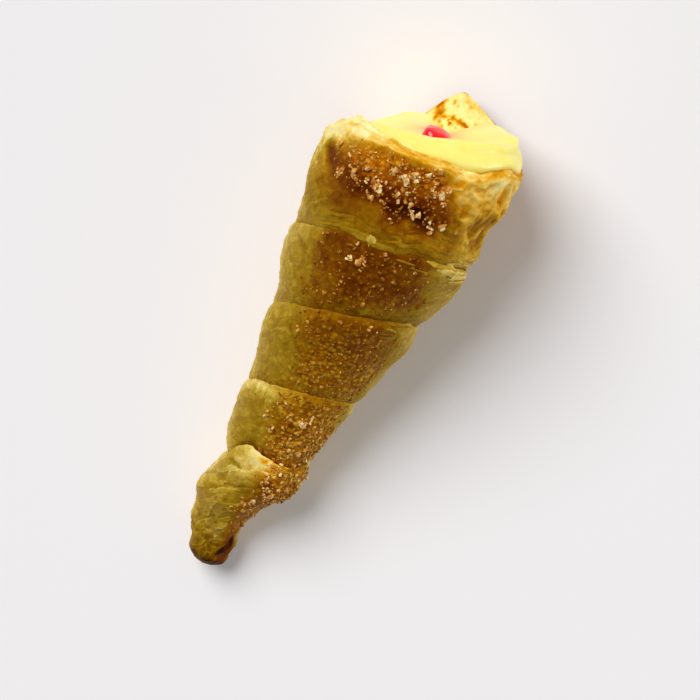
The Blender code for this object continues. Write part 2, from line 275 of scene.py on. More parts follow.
def layered(x, y, z, seed, octaves=3):
    """Noise with finer and fainter noise added to it."""
    total = 0.0
    for octave in range(octaves):
        scale = 2.03**octave
        total = total + noise(x * scale, y * scale, z * scale, seed + octave) / 1.9**octave
    return total


def squares_near(x, y):
    """The unit square that holds each place, and the eight round it."""
    ix, iy = np.floor(x), np.floor(y)
    return [(ix + dx, iy + dy) for dx in (-1, 0, 1) for dy in (-1, 0, 1)]


def scattered(cx, cy, seed):
    """A square's own point, and its own number."""
    right, up, own = (lattice(cx, cy, cx * 0, seed + more) for more in (0, 7, 13))
    return cx + right, cy + up, own


def cells(x, y, seed):
    """The distance to the nearest of points scattered one to a unit square, and that one's own number."""
    x, y = np.broadcast_arrays(x, y)
    near, number = np.full(x.shape, 9.0), np.zeros(x.shape)
    for cx, cy in squares_near(x, y):
        px, py, own = scattered(cx, cy, seed)
        away = np.hypot(px - x, py - y)
        number = np.where(away < near, own, number)
        near = np.minimum(near, away)
    return near, number


def facets(x, y, seed):
    """Flakes one over another: at each place the plane that leans its own way about the strongest of the
    points scattered near, how strongly it leads, how far it stands over the next one, and its own number.
    """
    x, y = np.broadcast_arrays(x, y)
    best, second = np.full(x.shape, -9.0), np.full(x.shape, -9.0)
    plane, under, number = np.zeros(x.shape), np.zeros(x.shape), np.zeros(x.shape)
    for cx, cy in squares_near(x, y):
        px, py, own = scattered(cx, cy, seed)
        away_x, away_y = x - px, y - py
        lean = TAU * lattice(cx, cy, cx * 0, seed + 19)
        leaned = own + 0.8 * (away_x * np.cos(lean) + away_y * np.sin(lean))
        strength = leaned - 1.1 * (away_x**2 + away_y**2)
        wins = strength > best
        next_best = strength > second
        under = np.where(wins, plane, np.where(next_best, leaned, under))
        second = np.where(wins, best, np.where(next_best, strength, second))
        plane, number = np.where(wins, leaned, plane), np.where(wins, own, number)
        best = np.where(wins, strength, best)
    return plane, best - second, plane - under, number


# ---------------------------------------------------------------- the winding


def strip_edge(turns):
    """Where the strip's mouth-side edge lies along the axis: a helix that widens, with its own unevenness."""
    skew = EDGE_SKEW * (1 - np.cos(TAU * turns))
    lead = (TOP_LEAD[0] + TOP_LEAD[1] * turns) * np.maximum(np.sin(TAU * turns), 0) * (turns > 0)
    ragged = 0.30 * noise(turns * 9.0, 0.5, 0.5, 11) + 0.30 * noise(turns * 31.0, 0.5, 0.5, 12)
    ragged = ragged + 0.28 * noise(turns * 90.0, 0.5, 0.5, 14)
    x = EDGE_START + PITCH * turns + PITCH_GROWTH * turns**3 - skew + lead
    for at, over, further in EDGE_WOBBLES:
        x = x + further * hump(turns, at, over)
    teeth = 1.1 * noise(turns * 42.0, 6.5, 0.5, 16) + 0.7 * noise(turns * 110.0, 7.5, 0.5, 17)
    ragged = ragged + teeth * (between(turns, 3.13, 3.42, 0.06) + 0.5 * between(turns, 3.98, 4.12, 0.04))
    return x + ragged * smooth((turns + 0.3) / 0.4)


def rim(turns):
    """The mouth's rim in turns from LAST_TURN: the strip's last edge, and then its slanting cut."""
    share = np.clip((turns - LAST_TURN - STRIP_END) / (1 - STRIP_END), 0, 1)
    left = strip_edge(np.array([float(LAST_TURN)]))
    peak = strip_edge(np.array([LAST_TURN + STRIP_END]))
    cut = mix(left, peak, 1 - smooth(share / CUT_FALL)) + 0.35 * noise(turns * 24.0, 3.5, 0.5, 13)
    crumbs = 2.5 + 0.9 * noise(turns * 60.0, 4.5, 0.5, 15)
    cut = cut + crumbs * hump(turns, CRUMBS_AT, 0.062)
    return np.where(turns <= LAST_TURN + STRIP_END, strip_edge(turns), cut)


def strip_start(turns):
    """Where the strip's outer face starts: at the edge of the turn before it, and at first at the tip."""
    return np.where(turns < OVERLAP_FROM, TIP_X, strip_edge(turns - 1))


def strip_stop(turns):
    return np.where(turns >= LAST_TURN, rim(turns), strip_edge(turns))


def strip_run(turns):
    """How far along the strip's winding a turn is: the sum of girths that widen evenly from tip to mouth."""
    return TAU * (8.0 * turns + 1.8 * turns**2)


def body_radius(x):
    """The smooth horn under the winding, with a rounded tip."""
    inward = np.clip((TIP_X + TIP_ROUNDING - x) / TIP_ROUNDING, 0.0, 1.0)
    return curve(BODY, x) * np.sqrt(1 - inward * inward)


def cavity_radius(x):
    return np.maximum(CAVITY_RADIUS - CAVITY_TAPER * (CAVITY_MOUTH - x), CAVITY_NARROWEST)


def wound_radius(turns, x):
    """The body, fuller at its sides, swelling before the strip's edge and dipping after the edge over it."""
    side = np.cos(TAU * turns)
    fuller = curve(FULLER_LEFT, x) * np.maximum(side, 0) ** 1.5
    fuller = fuller + curve(FULLER_RIGHT, x) * np.maximum(-side, 0) ** 1.5
    before = strip_stop(turns) - x
    after = np.maximum(x - strip_start(turns), 0)
    own = curve(STEP, turns) * (turns < LAST_TURN)
    swell = 0.55 * own * hump(before, SWELL_SETBACK, SWELL_LENGTH)
    crease = curve(STEP, turns - 1) * (turns >= OVERLAP_FROM) * np.exp(-after / CREASE_LENGTH)
    return body_radius(x) + fuller * smooth((x - TIP_X) / 6) + swell - crease


def edge_roll(turns):
    """How far back from its edge the strip's outer face begins to roll down, how thick the edge is there, and
    how far it is the mouth's rim.
    """
    start, stop = strip_start(turns), strip_stop(turns)
    at_rim = smooth((turns - LAST_TURN) / 0.03)
    uneven = 0.30 * noise(turns * 16, 0.5, 9.5, 61) + 0.16 * noise(turns * 50, 0.5, 9.5, 68)
    bevel = curve(RIM_BEVEL, turns) * (1 + uneven)
    roll = np.minimum(mix(EDGE_ROLL, bevel, at_rim), (stop - start) * 0.5 + 0.05)
    return roll, EDGE_THICKNESS + 0.5 * curve(STEP, turns), at_rim


def edge_fall(turns, x):
    """How far the outer face has rolled down at a place near the strip's edge: the quarter of its oval."""
    roll, thick, at_rim = edge_roll(turns)
    share = np.clip((x - strip_stop(turns) + roll) / roll, 0, 1)
    return 0.5 * thick * (1 - np.sqrt(1 - share**2.5)) * (1 - at_rim)


def about_axis(x, radius, turns):
    """Points at these distances from the horn's axis, in millimetres."""
    y, z = circle(radius, turns)
    return np.stack([x, curve(TIP_LEAN, x) + y, z], -1)


def laid(points):
    """Points about the horn's axis in the frame, in metres: the horn laid on its side in the frame's box."""
    angle = math.atan(LIE_SLOPE)
    x, y, z = np.moveaxis(np.asarray(points, float), -1, 0)
    across = x * math.cos(angle) - z * math.sin(angle)
    upward = x * math.sin(angle) + z * math.cos(angle)
    upward = upward + LIE_RADIUS * math.cos(angle) - FLAT_DEPTH
    return np.stack([across + SHIFT_X, y + SHIFT_Y, upward], -1) * MM


def pressed(points):
    """Points that would lie under the floor are spread onto it."""
    points = points.copy()
    points[..., 2] = np.maximum(points[..., 2], FLOOR_GAP)
    return points


def find_shift():
    """How far the plain wound horn has to move to fill the pastry's box, in millimetres."""
    turns, share = np.meshgrid(np.linspace(-0.25, 4.99, 700), np.linspace(0, 1, 60))
    x = mix(strip_start(turns), strip_stop(turns), share)
    points = laid(about_axis(x, wound_radius(turns, x), turns)).reshape(-1, 3)
    low, high = (np.array(corner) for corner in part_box("pastry"))
    return (low[:2] + high[:2] - points[:, :2].min(0) - points[:, :2].max(0)) / 2 / MM


SHIFT_X = SHIFT_Y = 0.0  # until it is found, which is done unshifted
SHIFT_X, SHIFT_Y = find_shift()


# ---------------------------------------------------------------- the baked surface


def creased(x, y, z, seed):
    """Noise folded about its middle, so that it has sharp ridges: 1 on a ridge and 0 far from one."""
    return 1 - np.minimum(np.abs(layered(x, y, z, seed, 2)) * 1.7, 1)


class Places:
    """Places on the strip, by turn and along the axis, and how each one lies on it."""

    def __init__(self, turns, x):
        self.turns, self.x = turns, x
        self.y, self.z = circle(body_radius(x), turns)
        self.around = turns - np.floor(turns)
        self.run = strip_run(turns)
        self.across = x - strip_start(turns)
        self.left = strip_stop(turns) - x
        self.bevel = curve(RIM_BEVEL, turns)
        self.at_mouth = turns >= LAST_TURN

    def noise(self, size, seed):
        """Smooth noise through space, with lumps of this size."""
        return noise(self.x / size, self.y / size, self.z / size, seed)

    def dab(self, turn, over, measure, far, spread):
        """1 at one place, fading round the winding and by one of the measures along the axis."""
        return hump(self.turns, turn, over) * hump(getattr(self, measure), far, spread)


def sugared_stripe(at):
    """The browned patch, on top at the mouth and round to the right at the tip, and how sugared it is."""
    ragged = 0.030 * at.noise(5, 31) + 0.016 * at.noise(1.7, 32)
    sideways = at.around - curve(STRIPE_MIDDLE, at.x) + ragged
    stripe = smooth((curve(STRIPE_HALF, at.x) - np.abs(sideways)) / 0.11 + 0.5)
    reach = smooth((at.x - 111.0 - 90 * ragged) / 7) * smooth((at.left - at.bevel + 0.3 - 30 * ragged) / 1.8)
    patch = stripe * np.where(at.at_mouth, reach, 1.0)
    for lost, *where in STRIPE_FADES:
        patch = patch * (1 - lost * at.dab(*where))
    sugar = patch * mix(0.5, 1.0, smooth((at.across - 0.5) / 2.5))
    return patch, sugar * (1 - 0.9 * at.dab(0.235, 0.05, "left", 1.0, 3.6)) * smooth((at.x - 7) / 4)


def crumpled(at):
    """The crumpled part of the mouth's right, the turn where it begins, and its large and small folds."""
    crease_at = LAST_TURN + mix(0.385, 0.308, smooth((at.x - 112) / 18))
    crumple = smooth((at.turns - crease_at) / 0.05 + 0.5) * smooth((CRUMPLE_END - at.turns) / 0.08)
    crumple = crumple * smooth(at.left / 1.2) * smooth((at.x - 105) / 12)
    bent = 0.5 * noise(at.run / 6, at.x / 6, 0.5, 41)
    fold = creased(at.x / 8 + bent, at.run / 6.5, 0.5, 42)
    rumple = creased(at.x / 3.6 + 3.1 + bent, at.run / 3.0, 0.5, 43)
    return crumple, crease_at, fold, rumple


def flaked(at):
    """Thin flakes one over another, large ones and ones half their size: the height of each kind, then their
    own tones, a painted highlight on the edges that stand up, and painted shade in the cracks below them.
    """
    warp_x = 0.45 * noise(at.run / 3.2, at.x / 3.2, 1.5, 44)
    warp_y = 0.45 * noise(at.run / 3.2, at.x / 3.2, 5.5, 44)
    aslant, athwart = 0.8 * at.run + 0.6 * at.x, 0.8 * at.x - 0.6 * at.run
    large = facets(aslant / 5.2 + warp_x, athwart / 2.6 + warp_y, 45)
    small = facets(aslant / 2.6 - warp_y, athwart / 1.3 + warp_x, 46)
    tone = painted_crack_shade = crest = 0.0
    for share, narrow, wide, (_, lead, step, number) in ((1.0, 0.10, 0.20, large), (0.5, 0.12, 0.22, small)):
        tone = tone + share * (2 * number - 1)
        painted_crack_shade = painted_crack_shade + share * hump(lead, 0, narrow) * np.clip(-4 * step, 0, 1)
        crest = crest + share * hump(lead, 0, wide) * np.clip(4 * step, 0, 1)
    return large[0], small[0], tone, crest, painted_crack_shade


def long_layers(at):
    """The strip's own layers, as steps of height, and the colour along them: painted shade at the foot of
    each step and a painted highlight on its top.
    """
    leaf = 1.3 * noise(at.run / 7, at.x / 4.5, 2.5, 48) + 0.6 * noise(at.run / 2.6, at.x / 2.0, 3.5, 47)
    part = leaf - np.floor(leaf)
    ledge = np.floor(leaf) + smooth(part / 0.2) - 0.5
    return ledge, 0.05 * (hump(part, 1.0, 0.10) + hump(part, 0.0, 0.06)) - 0.06 * hump(part, 0.24, 0.10)


def torn_layers(at):
    """By the seam under the mouth's turn the layers show as long steps that run with the seam: how much they
    show, their height and their shade.
    """
    seam = np.clip(at.across, 0, 12)
    sheets = 3.2 * noise(at.run / 22, seam / 2.2, 8.5, 52) + 1.4 * noise(at.run / 5, seam / 0.9, 9.5, 53)
    sheet = np.floor(sheets)
    torn = at.at_mouth * smooth((11 - at.across) / 5) * smooth((at.turns - LAST_TURN - 0.10) / 0.06)
    shade = 0.7 * noise(at.run / 9 + sheet * 3.7, seam / 4, sheet * 1.3, 54)
    return torn, sheet + smooth((sheets - sheet) / 0.15) - 0.5, shade


def lapped(at):
    """A layer on the mouth's left that laps over its middle: its edge, where it counts, and where it lies."""
    edge = mix(0.105, 0.035, smooth((at.x - 112) / 15)) + 0.006 * noise(at.x / 4, 0.5, 0.5, 55)
    counts = smooth((at.x - 112) / 6) * (at.turns > 4) * (at.turns < 4.5)
    return edge, counts, smooth((edge - at.around) / 0.012 + 0.5) * counts


def charred(at, grain):
    """The black streak under the tip's right side, as a dent and as char, with the char at the very end."""
    streak_x = 2.8 + 38 * (at.around - 0.357)
    streak = hump(at.x, streak_x, 2.1) * hump(at.around, 0.405, 0.045)
    streak = streak + 0.8 * hump(at.x, streak_x, 1.0) * hump(at.around, 0.345, 0.040)
    end = hump(at.x, -1.6, 1.1) * smooth((0.4 - at.x) / 1.5) * between(at.around, 0.12, 0.60, 0.12)
    char = smooth(3.0 * streak - 0.6) + 0.7 * end
    return streak, np.clip(char * (1 + 0.5 * grain), 0, 1)


def bake(turns, x):
    """How the strip came out of the oven at each place: its relief in millimetres, how browned, sugared and
    charred it is, with painted shade and highlights in its browning, and its hue: amber below 0, golden at 0,
    mustard at 1, and over 1 paler: a painted sheen at the sides and pale patches on the tip.
    """
    at = Places(turns, x)
    around, left, at_mouth, by_rim = at.around, at.left, at.at_mouth, smooth((x - 114) / 6)
    on_tip = smooth((34 - x) / 10)
    by_side = around - np.round(around)
    swell = (0.50 * at.noise(14, 21) + 0.30 * at.noise(6.5, 22)) * smooth((x - TIP_X) / 8)
    grain = layered(x / 1.8, at.y / 1.8, at.z / 1.8, 23)
    dabs = at.noise(3.6, 25)
    patch, sugar = sugared_stripe(at)
    crumple, crease_at, fold, rumple = crumpled(at)
    sugar = sugar * (1 - 0.95 * crumple)
    flakes, small_flakes, tone, crest, painted_crack_shade = flaked(at)
    netted = mix(0.42, 1.0, on_tip)
    ledge, painted_step_shading = long_layers(at)
    torn, shelf, shade = torn_layers(at)
    lap_edge, lap_counts, lap = lapped(at)
    streak, char = charred(at, grain)
    plain = (1 - patch) * (1 - crumple)

    # sugar melted into a knobbly crust
    near, number = cells(at.run / 1.3, x / 1.3, 49)
    lumps = smooth((1 - near / (0.30 + 0.35 * number)) * 1.8) * (number > 0.25) * curve(AMBER_SUGAR, x)
    lumps = lumps * smooth(left / 2.5)
    knobs = 0.5 * at.noise(0.8, 49) + 0.5 * at.noise(1.5, 50)

    calm = 1 - 0.6 * on_tip * hump(by_side, 0.02, 0.09)
    wrinkles = 0.14 * ledge + netted * calm * (0.34 * flakes + 0.24 * small_flakes - 0.36)
    relief = (
        swell
        + 0.09 * grain
        + plain * ((1 - torn) * wrinkles + 0.28 * torn * shelf)
        + crumple * (1.2 * fold + 0.5 * rumple - 1.1 + 0.14 * ledge)
        - 0.25 * hump(turns, crease_at, 0.012) * by_rim
        + sugar * (0.15 * knobs + 0.30 * lumps)
        + 0.6 * lap
        - 0.8 * streak
    )

    # browning, with painted light and shade in it: the plain dough, then the glazed stripe, the folds and the
    # golden rim over it
    browning_and_painted_light = 0.31 + 0.05 * grain + 0.04 * dabs + 0.04 * swell
    # the flakes' own tones, with painted highlights on their raised edges and on the higher flakes, and
    # painted shade in the cracks between them
    own = painted_step_shading + netted * (0.07 * tone + 0.14 * (0.6 * painted_crack_shade - 0.9 * crest) - 0.12 * (flakes - 0.5))
    browning_and_painted_light = browning_and_painted_light + plain * ((1 - torn) * own + torn * (0.22 * shade - 0.02))
    browning_and_painted_light = browning_and_painted_light + 0.12 * between(around, 0.07, 0.48, 0.10) - 0.04 * between(around, -0.1, 0.06, 0.05)
    browning_and_painted_light = browning_and_painted_light + 0.05 * at_mouth * between(around, 0.05, 0.40, 0.08)
    glazed = curve(STRIPE_TOAST, x) + 0.10 * knobs + 0.06 * grain + 0.05 * dabs
    glazed = glazed - 0.20 * lumps * (0.3 + number)
    burnt = 0.34 * hump(around, 0.282, 0.043) * hump(x, 115.5, 5.5)
    browning_and_painted_light = mix(browning_and_painted_light, glazed + at_mouth * (burnt - 0.10 * np.maximum(dabs, 0)), patch)
    # on the crumpled part the fold ridges are painted paler and the hollows darker: painted highlights and
    # shade
    rumpled = mix(0.56, 0.39, smooth((12 - left) / 8)) - 0.29 * fold - 0.15 * rumple + 0.05 * grain + painted_step_shading
    browning_and_painted_light = mix(browning_and_painted_light, np.maximum(rumpled, 0.14 + 0.08 * smooth((left - 4) / 8)), crumple)
    glaze = at_mouth * between(around, 0.06, 0.22, 0.05) * by_rim
    glaze = glaze * smooth((left - at.bevel - 1) / 3) * (1 - patch)
    browning_and_painted_light = browning_and_painted_light + 0.17 * glaze
    turnover = at_mouth * np.exp(-np.maximum(left - at.bevel, 0) / 2.0) * (around < 0.7)
    turnover = turnover * np.clip(0.8 + 0.5 * dabs + 0.3 * grain, 0, 1)
    turned = 0.27 + 0.18 * between(around, 0.165, 0.285, 0.05) + 0.09 * grain + 0.13 * dabs
    browning_and_painted_light = mix(browning_and_painted_light, turned - 0.26 * hump(around, 0.285, 0.012), turnover)

    # the seams, with painted shade in their creases and painted highlights along their edges, and single
    # places
    for darker, *where in DABS:
        browning_and_painted_light = browning_and_painted_light + darker * at.dab(*where)
    honey = at.dab(*HONEY)
    # the lip on top of the tip's turn is pale dough, painted paler still as a highlight
    browning_and_painted_light = browning_and_painted_light - 0.15 * honey - 0.46 * at.dab(0.245, 0.07, "left", 1.0, 3.6) * (0.85 + 0.8 * grain)
    browning_and_painted_light = browning_and_painted_light - 0.44 * hump(turns, 4.05, 0.07) * smooth((x - 119) / 4) + 0.21 * smooth((10 - x) / 9)
    # a darker line along the crease where the crumpled part begins: painted shade
    browning_and_painted_light = browning_and_painted_light + 0.10 * hump(turns, crease_at - 0.01, 0.02) * by_rim
    # the lapping layer is paler dough; just beside its edge a painted shadow, and on the edge a painted
    # highlight
    lap_shadow_and_highlight = hump(around, lap_edge + 0.02, 0.02) - hump(around, lap_edge - 0.008, 0.008)
    browning_and_painted_light = browning_and_painted_light - 0.08 * lap + 0.14 * lap_counts * lap_shadow_and_highlight
    # paler just before the strip's own edge: a painted highlight
    browning_and_painted_light = browning_and_painted_light - 0.05 * hump(left, 1.5, 2.5) * (1 - patch)
    # darker just past the edge that lies over this turn, the more so the higher its step: painted shade in
    # the crease
    browning_and_painted_light = browning_and_painted_light + 0.10 * hump(at.across, 0.0, 1.2) * (turns >= OVERLAP_FROM) * curve(STEP, turns - 1)
    under = between(around, 0.62, 0.90, 0.10) * (1 - crumple)
    browning_and_painted_light = mix(browning_and_painted_light, 0.48 + 0.08 * grain + 0.04 * ledge, under)
    right_of_tip = smooth((16 - x) / 8) * smooth((around - 0.27) / 0.08) * smooth((0.62 - around) / 0.1)
    browning_and_painted_light = browning_and_painted_light + 0.07 * right_of_tip

    # the hue: amber where sugar has browned, olive on plain dough, and a pale painted sheen where the light
    # grazes the sides
    olive = mix(0.30, 1.0, smooth((112 - x) / 10)) * (1 - patch) * (1 - 0.8 * crumple)
    warm = mix(mix(0.30, 0.0, smooth((x - 48) / 10)), 1.0, smooth((x - 106) / 8))
    amber = np.maximum(np.maximum(patch * warm, turnover), 0.7 * glaze)
    olive = olive - np.maximum(amber, crumple * smooth((16 - left) / 8)) - 0.25 * right_of_tip
    olive = olive - 0.9 * at.dab(0.245, 0.08, "left", 2.0, 4.4) - 0.5 * honey
    # the sides, where the light grazes them, are painted paler as sheen, and the tip gets pale patches too
    beside_top = hump(by_side, 0.0, 0.09) + hump(around, 0.47, 0.06) * (1 - crumple)
    mottled = 0.5 + 0.9 * noise(at.run / 5, x / 4, 3.5, 56) + 0.3 * grain + 0.5 * crest
    pale_tip_patches = np.clip(0.2 + 0.8 * dabs + 0.6 * crest, 0, 1) * smooth((x - 2) / 8)
    painted_sheen_and_patches = np.clip(beside_top * np.clip(mottled, 0, 1) + 0.5 * on_tip * plain * pale_tip_patches, 0, 1) * plain
    olive = olive + painted_sheen_and_patches * (1 + np.maximum(1 - olive, 0))
    return relief, np.clip(browning_and_painted_light, 0.06, 1), np.clip(sugar, 0, 1), char, olive


def strip_surface(turns, x):
    """The strip's outer face: its distance from the axis, and what shows there."""
    relief, *shares = bake(turns, x)
    radius = wound_radius(turns, x)
    return radius + relief * smooth(radius / 4) - edge_fall(turns, x), *shares


# ---------------------------------------------------------------- meshes


def add_mesh(name, points, faces, finish, values=None, soft=True):
    """A mesh object at the origin, from points in metres and arrays of faces, with values at its points."""
    mesh = bpy.data.meshes.new(name)
    faces = [np.asarray(part, np.int32) for part in faces]
    sizes = np.concatenate([np.full(len(part), part.shape[1], np.int32) for part in faces])
    corners = np.concatenate([part.ravel() for part in faces])
    mesh.vertices.add(len(points))
    mesh.vertices.foreach_set("co", np.ascontiguousarray(points, np.float32).ravel())
    mesh.loops.add(len(corners))
    mesh.loops.foreach_set("vertex_index", corners)
    mesh.polygons.add(len(sizes))
    starts = np.concatenate([[0], np.cumsum(sizes)[:-1]]).astype(np.int32)
    mesh.polygons.foreach_set("loop_start", starts)
    mesh.update(calc_edges=True)
    mesh.polygons.foreach_set("use_smooth", np.full(len(sizes), soft))
    for key, value in (values or {}).items():
        data = mesh.attributes.new(key, "FLOAT", "POINT").data
        data.foreach_set("value", np.ascontiguousarray(value, np.float32).ravel())
    mesh.materials.append(finish)
    mesh.validate()
    made = bpy.data.objects.new(name, mesh)
    bpy.context.scene.collection.objects.link(made)
    return made


def tube_faces(columns, rows):
    """A tube's quads, its vertices running round each column in turn, and triangles that close its ends."""
    index = np.arange(columns * rows).reshape(columns, rows)
    after = np.roll(index, -1, axis=1)
    quads = np.stack([index[:-1], after[:-1], after[1:], index[1:]], -1).reshape(-1, 4)
    first, last = columns * rows, columns * rows + 1
    near = np.stack([np.full(rows, first), after[0], index[0]], -1)
    far = np.stack([np.full(rows, last), index[-1], after[-1]], -1)
    return quads, np.concatenate([near, far])


def drop_pinched(faces, joined):
    """The faces as triangles between the vertices that theirs are joined to, without the flat ones."""
    triangles = [part[:, :3] for part in faces] + [part[:, [0, 2, 3]] for part in faces if part.shape[1] == 4]
    triangles = joined[np.concatenate(triangles)]
    a, b, c = triangles.T
    return triangles[(a != b) & (b != c) & (c != a)]


def edge_section(turns, top_x, top_r, roll, thick, rows, at_rim):
    """The strip's edge, with its thin layers standing out: round the winding half an oval from the outer face
    to the inner one, and at the mouth a slope that is furthest forward at the inner face.
    """
    angle = np.linspace(0, 1, rows + 2)[None, 1:-1] * math.pi
    depth = (1 - np.cos(angle)) / 2 * thick
    leaf = 3.0 * noise(turns * 26, depth / 0.9, 1.5, 62) + 1.4 * noise(turns * 90, depth / 0.45, 2.5, 63)
    layers = np.floor(leaf) + smooth((leaf - np.floor(leaf)) / 0.3)
    oval = mix(np.sin(angle) ** 0.8, np.sin(angle * 0.46) ** 0.9, at_rim)
    oval = oval + 0.05 * at_rim * noise(turns * 26, angle * 1.6, 3.5, 69) * np.sin(angle)
    x = top_x + oval * roll + 0.11 * layers * np.sin(angle) ** 0.5 * mix(0.7, 1.5, at_rim)
    return x, top_r - depth, angle, layers / 4.0


def strip_length(first, last, name, finish):
    """A length of the strip as a closed solid: its cross-section carried along the winding.

    The section runs over the outer face from under the covering edge to the strip's own edge, round that
    edge, and back along the inner face. The first length starts at the tip, where all its sections meet.
    """
    from_tip = last < 1
    middle = np.array([(first + last) / 2])
    girth = TAU * body_radius(strip_edge(middle) - PITCH / 3)[0]
    columns = int((last - first) * girth / CELL) + 1
    turns = np.linspace(first, last, columns)[:, None]
    start, stop = strip_start(turns), strip_stop(turns)
    tuck = 0.0 if from_tip else TUCK
    outer_rows = int((np.max(stop - start) + tuck) / CELL)
    roll, thick, rim_share = edge_roll(turns)

    share = np.linspace(0, 1, outer_rows)[None, :] ** (1.4 if from_tip else 1.0)
    x = mix(start - tuck, stop - roll, share)
    radius, browning_and_painted_light, sugar, char, olive = strip_surface(turns, np.maximum(x, start))
    hidden = np.maximum(start - x, 0)
    radius = np.maximum(radius - 0.45 * hidden - 0.25 * smooth(hidden / 0.4), 0.0)

    top_x, top_r = x[:, -1:], radius[:, -1:]
    wall = np.maximum(top_r - cavity_radius(stop), 0.4)
    thick = mix(np.minimum(thick, 0.8 * top_r), wall, rim_share)
    edge_rows = RIM_ROWS if last > LAST_TURN else EDGE_ROWS
    edge_x, edge_r, angle, layers = edge_section(turns, top_x, top_r, roll, thick, edge_rows, rim_share)
    crumbly = noise(turns * 64, angle * 2.2, 0.5, 74) + 0.7 * noise(turns * 170, angle * 5, 0.5, 75)
    edge_r = edge_r + 0.20 * rim_share * crumbly * np.sin(angle)
    # the baked surface runs on over the first half of the roll
    rolled = bake(turns, np.minimum(edge_x, stop))
    carried = smooth(2.2 - 1.6 * angle) * (1 - rim_share)
    edge_r = edge_r + (rolled[0] - bake(turns, top_x)[0]) * carried

    back = np.linspace(0, 1, MOUTH_INNER_ROWS if last > LAST_TURN else INNER_ROWS)[None, :]
    inner_end = TIP_X + 2.0 if from_tip else start - tuck
    inner_x = mix(edge_x[:, -1:] - 0.15, inner_end, back)
    inside = np.minimum(cavity_radius(inner_x), 0.75 * body_radius(inner_x))
    if from_tip:
        inside = inside * (back < 1)
    else:
        inside = np.minimum(inside, radius[:, :1] - 0.3)
    inner_r = mix(top_r - thick, inside, smooth(back * (top_x - inner_end) / 3.0 - 0.4))
    lining = cavity_radius(inner_x) + 0.14 * noise(turns * 90, inner_x / 0.8, 0.5, 64)
    inner_r = np.where(turns >= LAST_TURN, lining, inner_r)
    if from_tip:
        inner_r = inner_r * (back < 1)

    all_x = np.concatenate([x, edge_x, inner_x], axis=1)
    all_r = np.concatenate([radius, edge_r, inner_r], axis=1)
    points = about_axis(all_x, np.maximum(all_r, 0.0), turns)
    rows = points.shape[1]

    # off the rim the edge's roll starts a little paler than the face before it: a painted highlight
    turned_out = mix(browning_and_painted_light[:, -1:] - 0.05, curve(RIM_TOAST, turns), rim_share)
    patches = 0.28 * np.maximum(noise(turns * 30, angle * 1.8, 0.5, 70) + 0.1, 0) - 0.09 * crumbly
    patches = patches * rim_share
    edge_browning_and_light = mix(browning_and_painted_light[:, -1:], np.clip(turned_out + patches + 0.12 * layers, 0, 1), smooth(angle / 0.7))
    edge_browning_and_light = mix(edge_browning_and_light, rolled[1], carried)
    specks = noise(turns * 40, inner_x / 1.8, 4.5, 65) + 0.9 * noise(turns * 90, inner_x / 0.8, 5.5, 66)
    specks = specks + 0.7 * noise(turns * 200, inner_x / 0.45, 6.5, 67)
    from_blotch = np.hypot((inner_x - INNER_BLOTCH[0]) / 1.1, (turns - INNER_BLOTCH[1]) * 82)
    blotch = hump(from_blotch, 2.5, 2.1)
    blotch = smooth(1.4 * (blotch * (0.7 + 0.9 * specks) - 0.40))
    toasted_inside = 0.03 + 0.12 * smooth(specks) + 0.36 * blotch
    edge_olive = mix(rolled[4], -0.6, rim_share * smooth(angle / 0.7))
    values = {
        "browning_and_painted_light": np.concatenate([browning_and_painted_light, edge_browning_and_light, toasted_inside], axis=1),
        "sugar": np.concatenate([sugar, rolled[2] * carried, inner_r * 0], axis=1),
        "char": np.concatenate([char, char[:, -1:] * smooth(1 - angle / 0.8), inner_r * 0], axis=1),
        "olive": np.concatenate([olive, edge_olive, inner_r * 0 - 0.8], axis=1),
    }
    flat = points.reshape(-1, 3)
    ends = np.stack([points[0].mean(0), points[-1].mean(0)])
    faces = tube_faces(columns, rows)
    if from_tip:
        joined = np.arange(len(flat) + 2)
        joined[: columns * rows : rows] = 0
        joined[rows - 1 : columns * rows : rows] = rows - 1
        faces = [drop_pinched(faces, joined)]
    values = {
        key: np.concatenate([value.reshape(-1), [value[0].mean(), value[-1].mean()]])
        for key, value in values.items()
    }
    return add_mesh(name, pressed(laid(np.concatenate([flat, ends]))), faces, finish, values)


# ---------------------------------------------------------------- custard and jelly


